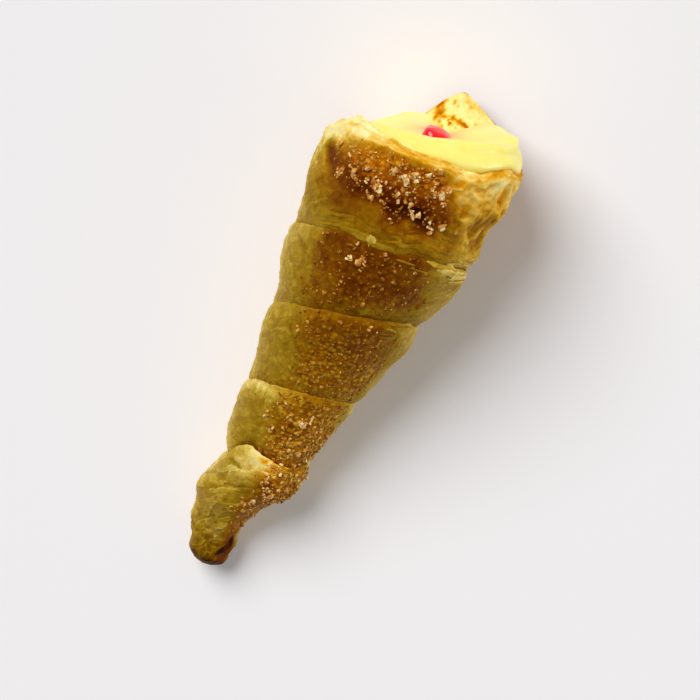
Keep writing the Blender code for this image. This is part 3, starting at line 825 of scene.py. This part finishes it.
def custard_front(turns, inward):
    """The custard's swollen front: from the crust's wall over its crest, and in to the heart of the mouth.

    The first part of the way is an oval roll from the wall, whose widest place is the reach, to the crest.
    The rest slopes from the crest to the heart, hollowed a little behind the crest.
    """
    turn, crest_x, crest_r = np.array(CREST).T
    wrapped = turns - (turns > turn[-1])
    x_crest = curve(list(zip(turn, crest_x)), wrapped)
    r_crest = curve(list(zip(turn, crest_r)), wrapped)
    edge = rim(LAST_TURN + turns)
    wall = cavity_radius(edge)
    foot = np.minimum(edge - 1.0, x_crest - 1.5)
    roll = np.clip(inward / CREST_SHARE, 0, 1)
    angle = roll * math.pi / 2
    out = np.maximum(curve(CUSTARD_REACH, turns) - wall, 0) * np.sin(np.clip(roll * 1.6, 0, 1) * math.pi)
    x_roll = mix(foot, x_crest, np.sin(angle) ** 1.6)
    r_roll = mix(wall, r_crest, 1 - np.cos(angle)) + out
    slope = np.clip((inward - CREST_SHARE) / (1 - CREST_SHARE), 0, 1)
    x_slope = mix(x_crest, CUSTARD_HEART[0], smooth(slope)) - 1.2 * np.sin(math.pi * slope**0.7)
    x = np.where(inward < CREST_SHARE, x_roll, x_slope)
    radius = np.where(inward < CREST_SHARE, r_roll, r_crest * (1 - slope))
    y, z = circle(radius, turns)
    y, z = y + CUSTARD_HEART[1] * slope, z + CUSTARD_HEART[2] * slope
    uneven = 0.45 * noise(y / 6, z / 6, x / 6, 71) + 0.16 * noise(y / 2.2, z / 2.2, x / 2.2, 72)
    return np.stack([x + uneven * smooth(inward / 0.1), y, z], -1)


def make_custard(finish):
    """The filling, as rings round the axis: along the cavity's wall from a point, then its swollen front."""
    turns = np.linspace(0, 1, CUSTARD_COLUMNS + 1)[None, :-1]
    inward = np.linspace(0, 1, FRONT_RINGS + 1)[:-1, None]
    front = custard_front(turns, inward)
    deep = np.linspace(0, 1, WALL_RINGS + 1)[:-1, None]
    x = mix(CUSTARD_START, front[:1, :, 0], deep)
    radius = np.maximum(cavity_radius(x) - 0.15, 0.3)
    wall = np.stack(np.broadcast_arrays(x, *circle(radius, turns)), -1)
    rings = np.concatenate([wall, front])
    blush = hump(front[..., 1], BLUSH_PLACE[0], BLUSH_SPREAD[0])
    blush = blush * hump(front[..., 2], BLUSH_PLACE[1], BLUSH_SPREAD[1])
    far = smooth(-front[..., 2] / 16)
    # 'baked' is no baking: the deeper golden where the custard meets the crust is painted shade under its
    # roll
    baked = smooth(1.1 - inward / 0.075 + 0.6 * noise(turns * 14, inward * 9, 0.5, 73))
    on_wall = np.zeros(wall[..., 0].size)
    values = {
        "blush": np.concatenate([on_wall, blush.ravel(), [0, 1]]),
        "far": np.concatenate([on_wall, far.ravel(), [0, 0.2]]),
        "baked": np.concatenate([on_wall + 1, baked.ravel(), [1, 0]]),
    }
    poles = np.array([[CUSTARD_START - 0.2, 0, 0], CUSTARD_HEART])
    points = laid(np.concatenate([rings.reshape(-1, 3), poles]))
    piece = add_mesh("custard_filling", points, tube_faces(*rings.shape[:2]), finish, values)
    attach(piece, "root")
    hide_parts("custard")


def make_jelly(finish):
    """A rounded, slightly lumpy piece of jelly: a sphere stretched, squared a little and dented by noise."""
    turns = np.linspace(0, 1, 73)[None, :-1]
    height = np.linspace(0, math.pi, 42)[1:-1, None]
    ball = np.broadcast_arrays(np.cos(height), *circle(np.sin(height), turns))
    ball = np.stack(ball, -1).reshape(-1, 3)
    ball = np.concatenate([ball, [[1, 0, 0], [-1, 0, 0]]])
    boxy = (np.abs(ball) ** 3.0).sum(-1, keepdims=True) ** (-1 / 3.0)
    dent = 1 + 0.10 * noise(*(ball * 1.6).T, 81)[:, None]
    points = np.array(JELLY_PLACE) + ball * boxy * dent * np.array(JELLY_HALF)
    # the rings run back from the mouth, so the faces turn the other way
    faces = [np.roll(part[:, ::-1], 1, axis=1) for part in tube_faces(height.shape[0], turns.shape[1])]
    values = {"height": smooth(ball[:, 0] * 0.7 + 0.1)}
    piece = add_mesh("jelly_piece", laid(points), faces, finish, values)
    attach(piece, "root")
    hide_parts("jelly")


# ---------------------------------------------------------------- sugar


def unit(vectors):
    return vectors / np.linalg.norm(vectors, axis=-1, keepdims=True)


def crust_points(turns, x):
    """Points on the crust's outer face, and the directions straight out of it, about the horn's axis."""
    step = 0.25

    def at(t, along):
        return about_axis(along, strip_surface(t, along)[0], t)

    here = at(turns, x)
    round_it = at(turns + step / (TAU * np.maximum(body_radius(x), 3)), x) - here
    onward = at(turns, x + step) - here
    out = np.cross(onward, round_it)
    radial = np.stack([x * 0, *circle(1.0, turns)], -1)
    return here, unit(out * np.sign((out * radial).sum(-1, keepdims=True)))


def showing(around, x):
    """The turn of the winding that shows at a place: one more for each of the strip's edges before it."""
    return around + sum((x > strip_edge(around + turn)).astype(float) for turn in range(LAST_TURN))


def scatter(spacing, density, seed):
    """Places on the winding, about one to a square of this spacing, kept as often as the density says."""
    random = np.random.default_rng(seed)
    spots = []
    length = 0.05
    for first in np.arange(-0.25, 4.95, length):
        middle = np.array([first + length / 2])
        start, stop = strip_start(middle)[0], strip_stop(middle)[0]
        girth = TAU * length * body_radius(np.array([(start + stop) / 2]))[0]
        count = random.poisson(max(stop - start, 0.0) * girth / spacing**2)
        turns = first + length * random.random(count)
        spots.append(np.stack([turns, mix(start, stop - 0.6, random.random(count))], -1))
    turns, x = np.concatenate(spots).T
    kept = random.random(len(turns)) < density(turns, x, bake(turns, x)[2])
    turns, x = turns[kept], x[kept]
    points = about_axis(x, body_radius(x), turns)
    # of any two closer than the spacing, the later one goes
    apart = np.linalg.norm(points[:, None] - points[None], axis=-1) < spacing * 0.75
    clash = np.triu(apart, 1).any(0)
    return turns[~clash], x[~clash], random


def join_grains(name, shape, turns, x, sizes, lift, tones, random, finish, soft):
    """Many copies of one small solid as one mesh on the crust, each turned, stretched and dented anew."""
    corners, faces = shape
    points, out = crust_points(turns, x)
    count = len(points)
    spin = unit(np.cross(out, random.normal(size=(count, 3))))
    lean = unit(out + 0.4 * random.normal(size=(count, 3)))
    side = unit(np.cross(lean, spin))
    basis = np.stack([np.cross(side, lean), side, lean], 1)
    jitter = 0.22 if soft else 0.55
    each = corners[None] + jitter * (random.random((count, len(corners), 3)) - 0.5)
    stretch = mix(np.array(LEAST_STRETCH), np.array(MOST_STRETCH), random.random((count, 3)))
    each = np.einsum("nvi,nij->nvj", each * (stretch * sizes[:, None])[:, None], basis)
    placed = points[:, None] + out[:, None] * (sizes * lift)[:, None, None] + each
    order = np.arange(count)[:, None, None] * len(corners) + faces[None]
    # each corner's tone is drawn anew round the grain's own, so single corners come out much lighter: painted
    # glints
    tone = np.clip(tones[:, None] - 0.45 + 1.1 * random.random((count, len(corners))) ** 1.3, 0, 1)
    points = pressed(laid(placed.reshape(-1, 3)))
    piece = add_mesh(name, points, [order.reshape(-1, faces.shape[1])], finish, {"tone": tone}, soft)
    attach(piece, "root")


def chunk():
    """A cube's corners and outward faces as triangles, half a unit each way."""
    corners = np.array([[a, b, c] for a in (-0.5, 0.5) for b in (-0.5, 0.5) for c in (-0.5, 0.5)])
    faces = np.array([[0, 1, 3, 2], [4, 6, 7, 5], [0, 4, 5, 1], [2, 3, 7, 6], [0, 2, 6, 4], [1, 5, 7, 3]])
    return corners, np.concatenate([faces[:, :3], faces[:, [0, 2, 3]]])


def bead():
    """A ball of two rings of six and two poles, half a unit across each way."""
    ring = np.arange(6) / 6 * TAU
    low = np.stack([np.cos(ring) * 0.45, np.sin(ring) * 0.45, ring * 0 - 0.22], -1)
    high = np.stack([np.cos(ring + 0.5) * 0.45, np.sin(ring + 0.5) * 0.45, ring * 0 + 0.22], -1)
    corners = np.concatenate([low, high, [[0, 0, -0.5], [0, 0, 0.5]]])
    a = np.arange(6)
    b = (a + 1) % 6
    faces = [
        np.stack([a, b, a + 6], -1),
        np.stack([b, b + 6, a + 6], -1),
        np.stack([b, a, a * 0 + 12], -1),
        np.stack([a + 6, b + 6, a * 0 + 13], -1),
    ]
    return corners, np.concatenate(faces)


def make_sugar(clear_finish, amber_finish):
    """Clear crystals, some of them in clumps, amber beads that have half melted, and fine grains between."""

    def clear(turns, x, sugar):
        bare = hump(turns, LAST_TURN + 0.295, 0.03) * hump(x, 120.5, 3.5)
        return 0.27 * curve(CLEAR_SUGAR, x) * sugar * (1 - bare)

    def amber(turns, x, sugar):
        return curve(AMBER_SUGAR, x) * sugar * smooth((sugar - 0.12) / 0.2)

    def beads(turns, x, sugar):
        return mix(0.85, 0.5, smooth((x - 108) / 6)) * amber(turns, x, sugar)

    def dust(turns, x, sugar):
        return 0.30 * amber(turns, x, sugar)

    turns, x, random = scatter(0.85, clear, 5)
    alone = len(x)
    for around, at, count in SUGAR_CLUMPS:
        angle = TAU * random.random(count)
        away = CLUMP_RADIUS * np.sqrt(random.random(count))
        near = at + away * np.cos(angle)
        spread = away * np.sin(angle) / (TAU * body_radius(near))
        x = np.concatenate([x, near])
        turns = np.concatenate([turns, showing(around + spread, near)])
    clumped = np.arange(len(x)) >= alone
    sizes = mix(0.30, mix(1.25, 1.05, clumped), random.random(len(x)) ** mix(2.0, 0.8, clumped))
    tones = mix(0.05, 0.2, clumped) + 0.8 * random.random(len(x))
    join_grains("sugar_crystals", chunk(), turns, x, sizes, 0.25, tones, random, clear_finish, False)
    turns, x, random = scatter(1.25, beads, 6)
    sizes = (0.7 + 0.9 * random.random(len(x)) ** 1.5) * mix(1.25, 1.0, smooth((x - 42) / 10))
    tones = curve(SUGAR_TONE, x) + 0.35 * (random.random(len(x)) - 0.5)
    join_grains("sugar_beads", bead(), turns, x, sizes, -0.02, tones, random, amber_finish, True)
    turns, x, random = scatter(0.80, dust, 7)
    sizes = 0.30 + 0.30 * random.random(len(x))
    tones = curve(SUGAR_TONE, x) + 0.6 * (random.random(len(x)) - 0.4)
    join_grains("sugar_dust", chunk(), turns, x, sizes, 0.15, tones, random, amber_finish, False)


# ---------------------------------------------------------------- loose flakes

FLAKE_THICKNESS = 0.16
FLAKE_GRID = (22, 7)  # points along it and across it
FLAKES = (  # turns round, along the axis, length round, width, slope, lift, browning
    (0.240, 106.2, 2.4, 1.9, 0.50, 0.30, 0.20),
    (0.380, 106.3, 12.0, 1.2, -0.08, 0.35, 0.26),
    (0.410, 105.0, 13.0, 1.8, -0.05, 0.6, 0.14),
    (0.430, 106.9, 12.0, 1.5, -0.03, 0.6, 0.18),
    (0.440, 103.4, 12.0, 1.7, -0.05, 0.6, 0.12),
    (0.450, 101.9, 10.0, 1.3, -0.02, 0.5, 0.20),
    (0.455, 108.8, 9.0, 1.3, 0.04, 0.4, 0.24),
)


def flake(around, x, length, width, slope, lift, browning, seed):
    """A thin torn flake on the crust: a grid along and across it, pinched at both ends, torn by noise along
    its sides and curled up along one of them, with its underside as far below as it is thick.
    """
    u = np.linspace(-1, 1, FLAKE_GRID[0])[:, None]
    v = np.linspace(-1, 1, FLAKE_GRID[1])[None, :]
    reach = width / 2 * (1 - np.abs(u) ** 5) * (1 + 0.55 * noise(u * 3.7, v * 0.8, seed + 0.5, 91)) + 0.03
    sideways = v * reach + 0.35 * width * noise(u * 2.1, 0.5, seed + 0.5, 92)
    forward = u * length / 2
    at_x = x + sideways + slope * forward
    turn = around + (forward - slope * sideways) / (TAU * body_radius(at_x))
    points, out = crust_points(showing(turn, at_x), at_x)
    curled = smooth((v + 1) / 2)
    curl = 0.05 + lift * curled**2 * (0.6 + 0.4 * noise(u * 2.3, 0.5, seed + 0.5, 93)) * (1 - u * u)
    half = FLAKE_THICKNESS / 2 * (1 - v**4) * (1 - u**4) + 0.02
    upper = points + out * (curl + half)[..., None]
    lower = points + out * (curl - half)[..., None]
    ring = np.concatenate([upper, lower[:, ::-1]], axis=1)
    ends = np.stack([ring[0].mean(0), ring[-1].mean(0)])
    tone = browning + 0.08 * noise(u * 6, v * 2, seed + 0.5, 94) + 0.06 * (1 - curled)
    browning_and_painted_light = np.concatenate([tone, tone[:, ::-1]], axis=1)
    return np.concatenate([ring.reshape(-1, 3), ends]), np.concatenate([browning_and_painted_light.ravel(), [browning, browning]])


def make_flakes(finish):
    """Flakes at listed places, and small ones at random along the strip's edges, as one mesh."""
    random = np.random.default_rng(8)
    flakes = list(FLAKES)
    for turn in range(LAST_TURN):
        for around in random.random(9 + 4 * turn):
            place = strip_edge(np.array([turn + around]))[0] + mix(-4.5, 0.5, random.random())
            length, width = mix(3.0, 9.0, random.random()), mix(0.35, 0.7, random.random())
            slope, browning = 0.3 * (random.random() - 0.5), 0.28 + 0.2 * random.random()
            if (0.12 if turn == 0 else 0.26) <= around <= 0.42:
                flakes.append((around, place, length, width, slope, 0.12, browning))
    made = [flake(*row, seed) for seed, row in enumerate(flakes)]
    points, browning_and_painted_light = (np.concatenate(parts) for parts in zip(*made))
    order = np.arange(len(made))[:, None, None] * len(made[0][0])
    columns, rows = FLAKE_GRID[0], 2 * FLAKE_GRID[1]
    faces = [(order + part[None]).reshape(-1, part.shape[1]) for part in tube_faces(columns, rows)]
    values = {"browning_and_painted_light": browning_and_painted_light, "olive": browning_and_painted_light * 0 + 0.8}
    piece = add_mesh("loose_flakes", pressed(laid(points)), faces, finish, values)
    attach(piece, "root")


# ---------------------------------------------------------------- materials


class Nodes:
    """Short forms for a material's node tree."""

    def __init__(self, name):
        self.material = bpy.data.materials.new(name)
        self.material.use_nodes = True
        self.tree = self.material.node_tree
        self.shader = self.tree.nodes["Principled BSDF"]

    def add(self, kind, inputs=(), **settings):
        node = self.tree.nodes.new(kind)
        for key, value in settings.items():
            setattr(node, key, value)
        for key, value in dict(inputs).items():
            self.feed(node.inputs[key], value)
        return node

    def feed(self, socket, value):
        if isinstance(value, bpy.types.NodeSocket):
            self.tree.links.new(value, socket)
        else:
            socket.default_value = value

    def attribute(self, name):
        return self.add("ShaderNodeAttribute", attribute_name=name).outputs["Fac"]

    def noise(self, scale, detail=3.0, roughness=0.5):
        place = self.add("ShaderNodeTexCoord").outputs["Object"]
        inputs = {"Vector": place, "Scale": scale, "Detail": detail, "Roughness": roughness}
        return self.add("ShaderNodeTexNoise", inputs).outputs["Fac"]

    def math(self, operation, a, b=0.0, clamp=False):
        return self.add("ShaderNodeMath", {0: a, 1: b}, operation=operation, use_clamp=clamp).outputs[0]

    def spread(self, value, low, high, to_low=0.0, to_high=1.0):
        inputs = {"Value": value, "From Min": low, "From Max": high, "To Min": to_low, "To Max": to_high}
        return self.add("ShaderNodeMapRange", inputs).outputs["Result"]

    def ramp(self, value, stops):
        node = self.add("ShaderNodeValToRGB", {"Fac": value})
        elements = node.color_ramp.elements
        stops = list(stops)
        while len(elements) < len(stops):
            elements.new(0.5)
        for element, (position, colour) in zip(elements, stops):
            element.position = position
            element.color = (*linear(colour), 1)
        return node.outputs["Color"]

    def blend(self, share, a, b):
        node = self.add("ShaderNodeMix", data_type="RGBA")
        for key, value in (("Factor", share), ("A", a), ("B", b)):
            self.feed(node.inputs[key], value)
        return node.outputs["Result"]

    def bump(self, height, distance, strength):
        inputs = {"Height": height, "Distance": distance, "Strength": strength}
        return self.add("ShaderNodeBump", inputs).outputs["Normal"]

    def set(self, **inputs):
        for key, value in inputs.items():
            self.feed(self.shader.inputs[key.replace("_", " ")], value)
        return self.material


def linear(colour):
    """A colour given from 0 to 255 as it shows, in shares of light."""
    share = np.array(colour, float) / 255
    return tuple(np.where(share <= 0.04045, share / 12.92, ((share + 0.055) / 1.055) ** 2.4))


def paint(colour):
    return (*linear(colour), 1)


TOAST_STOPS = (0.00, 0.12, 0.26, 0.40, 0.55, 0.70, 0.86, 1.00)
GOLDEN = (
    (255, 244, 172), (246, 210, 104), (208, 158, 36), (174, 120, 6),
    (146, 86, 1), (118, 58, 0), (88, 36, 0), (54, 17, 0),
)
MUSTARD = (
    (255, 246, 180), (240, 214, 116), (200, 167, 58), (166, 130, 22),
    (138, 98, 4), (112, 66, 0), (86, 42, 0), (54, 20, 0),
)
AMBER = (
    (255, 244, 172), (252, 214, 108), (236, 168, 24), (206, 126, 8),
    (160, 80, 2), (120, 50, 0), (84, 26, 0), (54, 12, 0),
)


def baked_pastry():
    """Browning from pale dough to dark caramel in three hues, mottled, with a sugar glaze on the stripe."""
    nodes = Nodes("baked_pastry")
    mottle = nodes.noise(700.0, 4.0, 0.6)
    speck = nodes.noise(2600.0, 2.0, 0.6)
    # the browning carries the strip's painted shade and highlights
    browning_and_painted_light = nodes.attribute("browning_and_painted_light")
    browning_and_painted_light = nodes.math("ADD", browning_and_painted_light, nodes.spread(mottle, 0.3, 0.7, -0.05, 0.05))
    browning_and_painted_light = nodes.math("ADD", browning_and_painted_light, nodes.spread(speck, 0.3, 0.7, -0.03, 0.03))
    golden, mustard, amber = (nodes.ramp(browning_and_painted_light, zip(TOAST_STOPS, hues)) for hues in (GOLDEN, MUSTARD, AMBER))
    olive = nodes.attribute("olive")
    colour = nodes.blend(olive, golden, mustard)
    colour = nodes.blend(nodes.math("MULTIPLY", olive, -1.0), colour, amber)
    # olive over 1 blends towards a pale colour: the painted sheen at the sides and the tip's pale patches
    painted_sheen_and_patches = nodes.math("MULTIPLY", nodes.math("SUBTRACT", olive, 1.0), 0.45, clamp=True)
    colour = nodes.blend(painted_sheen_and_patches, colour, paint((198, 168, 106)))
    char = nodes.attribute("char")
    gloss = nodes.math("MAXIMUM", nodes.attribute("sugar"), char)
    return nodes.set(
        Base_Color=nodes.blend(char, colour, paint((50, 13, 4))),
        Roughness=nodes.spread(gloss, 0.0, 1.0, 0.70, 0.40),
        Normal=nodes.bump(nodes.noise(1500.0, 4.0, 0.65), 0.0002, 0.6),
        Specular_IOR_Level=0.11,
        Specular_Tint=paint((255, 205, 110)),
        Sheen_Weight=0.022,
        Sheen_Roughness=0.3,
        Sheen_Tint=paint((255, 232, 170)),
    )


def smooth_custard():
    """Yellow custard, paler low down, deeper golden by the crust as painted shade, flushed round the jelly,
    faintly wet.
    """
    nodes = Nodes("smooth_custard")
    streaks = nodes.spread(nodes.noise(160.0), 0.3, 0.7)
    colour = nodes.ramp(streaks, [(0.0, (254, 236, 110)), (1.0, (255, 241, 136))])
    far = nodes.math("MULTIPLY", nodes.attribute("far"), 0.8)
    colour = nodes.blend(far, colour, paint((254, 236, 156)))
    # deeper golden by the crust: painted shade
    colour = nodes.blend(nodes.attribute("baked"), colour, paint((244, 186, 50)))
    blush = nodes.math("MULTIPLY", nodes.attribute("blush"), 0.95)
    return nodes.set(
        Base_Color=nodes.blend(blush, colour, paint((246, 134, 104))),
        Roughness=0.38,
        Normal=nodes.bump(nodes.noise(420.0), 0.0003, 0.25),
        Specular_IOR_Level=0.35,
        Subsurface_Weight=0.25,
        Subsurface_Radius=(1.0, 0.8, 0.35),
        Subsurface_Scale=0.002,
    )


def red_jelly():
    """Bright red jelly, darker at its back and lighter towards its outer end, with a hard shine."""
    nodes = Nodes("red_jelly")
    uneven = nodes.spread(nodes.noise(350.0, 2.0), 0.3, 0.7, -0.1, 0.1)
    # how far out towards the mouth, with some unevenness
    depth = nodes.math("ADD", nodes.attribute("height"), uneven)
    colour = nodes.ramp(depth, [(0.0, (222, 12, 36)), (0.45, (232, 26, 42)), (1.0, (242, 92, 78))])
    return nodes.set(
        Base_Color=colour,
        Roughness=0.12,
        Specular_IOR_Level=0.5,
        Subsurface_Weight=0.35,
        Subsurface_Radius=(1.0, 0.25, 0.2),
        Subsurface_Scale=0.003,
    )


def sugar_finish(name, dark, middle, light, roughness):
    """Sugar from a darker to a lighter tone within each grain, its lightest corners painted glints, with a
    hard shine.
    """
    nodes = Nodes(name)
    colour = nodes.ramp(nodes.attribute("tone"), [(0.0, dark), (0.55, middle), (1.0, light)])
    shine = paint((255, 216, 150))
    return nodes.set(Base_Color=colour, Roughness=roughness, Specular_IOR_Level=0.24, Specular_Tint=shine)


def plain_floor():
    nodes = Nodes("pale_floor")
    return nodes.set(Base_Color=paint((253, 250, 251)), Roughness=0.9, Specular_IOR_Level=0.05)


# ---------------------------------------------------------------- making

STRIP_LENGTHS = (
    ("strip_tip", -0.25, 0.75),
    ("strip_second_turn", 0.75, 1.75),
    ("strip_third_turn", 1.75, 2.75),
    ("strip_fourth_turn", 2.75, 3.75),
    ("strip_mouth_turn", 3.75, 4.995),
)
pastry_finish = baked_pastry()
for name, first, last in STRIP_LENGTHS:
    piece = strip_length(first, last, name, pastry_finish)
    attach(piece, "root")
    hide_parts("pastry")

make_custard(smooth_custard())
make_jelly(red_jelly())
make_flakes(pastry_finish)
make_sugar(
    sugar_finish("clear_sugar", (146, 76, 6), (222, 152, 60), (255, 238, 178), 0.18),
    sugar_finish("amber_sugar", (114, 66, 2), (182, 122, 24), (244, 200, 104), 0.14),
)


# ---------------------------------------------------------------- floor, light and camera


WINDOW_LIGHT = 2.42
LAMP_LIGHT = 1.5
ROOM_LIGHT = 0.17
FLOOR_HALF = 1.5


def make_floor():
    """A level square just under the horn."""
    corners = FLOOR_HALF * np.array([[-1, -1, 0], [1, -1, 0], [1, 1, 0], [-1, 1, 0]])
    floor = add_mesh("floor", corners, [np.array([[0, 1, 2, 3]])], plain_floor(), soft=False)


def make_sun(name, strength, towards, angle):
    """Light from a direction, as wide as the angle in degrees."""
    light = bpy.data.lights.new(name, "SUN")
    light.energy = strength
    light.angle = math.radians(angle)
    holder = bpy.data.objects.new(name, light)
    holder.rotation_euler = (-Vector(towards)).to_track_quat("-Z", "Y").to_euler()
    bpy.context.scene.collection.objects.link(holder)
    return light


VIEW_TILT = math.radians(8.0)
VIEW_ROLL = math.radians(62.2)
VIEW_WIDTH = 185.71 * MM  # what the camera sees across at the horn's middle
AIM_HEIGHT = 25 * MM
AIM_RIGHT = 5.89 * MM
AIM_DOWN = 3.661 * MM
LENS = 200.0
SENSOR = 36.0


def view_axes():
    """The camera's right, its up, and the way back to it."""
    along = Vector((math.cos(VIEW_TILT), 0, -math.sin(VIEW_TILT)))
    left = Vector((0, 1, 0))
    right = along * math.cos(VIEW_ROLL) - left * math.sin(VIEW_ROLL)
    up = along * math.sin(VIEW_ROLL) + left * math.cos(VIEW_ROLL)
    return right, up, right.cross(up)


def make_camera():
    """A long lens that looks down on the horn, a little from its tip, with the mouth up and to the right."""
    right, up, back = view_axes()
    target = Vector((0, 0, AIM_HEIGHT)) + right * AIM_RIGHT - up * AIM_DOWN
    distance = LENS / SENSOR * VIEW_WIDTH
    lens = bpy.data.cameras.new("camera")
    lens.lens = LENS
    lens.sensor_width = SENSOR
    lens.clip_end = 20.0
    camera = bpy.data.objects.new("camera", lens)
    camera.matrix_world = Matrix((right, up, back)).transposed().to_4x4()
    camera.location = target + back * distance
    bpy.context.scene.collection.objects.link(camera)
    bpy.context.scene.camera = camera


def from_camera(to_right, to_up, back):
    """A direction given by the camera's right, its up and the way back to it."""
    right, up, towards = view_axes()
    return (right * to_right + up * to_up + towards * back).normalized()


def make_light():
    """A wide window on the upper left, a lamp on the right that casts no shadow, and a dim room."""
    make_sun("window", WINDOW_LIGHT, from_camera(-0.42, 0.46, 0.785), 40)
    make_sun("lamp", LAMP_LIGHT, from_camera(0.93, 0.08, 0.36), 12).use_shadow = False
    world = bpy.data.worlds.new("studio")
    world.use_nodes = True
    background = world.node_tree.nodes["Background"]
    background.inputs["Color"].default_value = (0.94, 0.97, 1, 1)
    background.inputs["Strength"].default_value = ROOM_LIGHT
    bpy.context.scene.world = world
    bpy.context.scene.view_settings.view_transform = "Standard"


make_floor()
make_light()
make_camera()
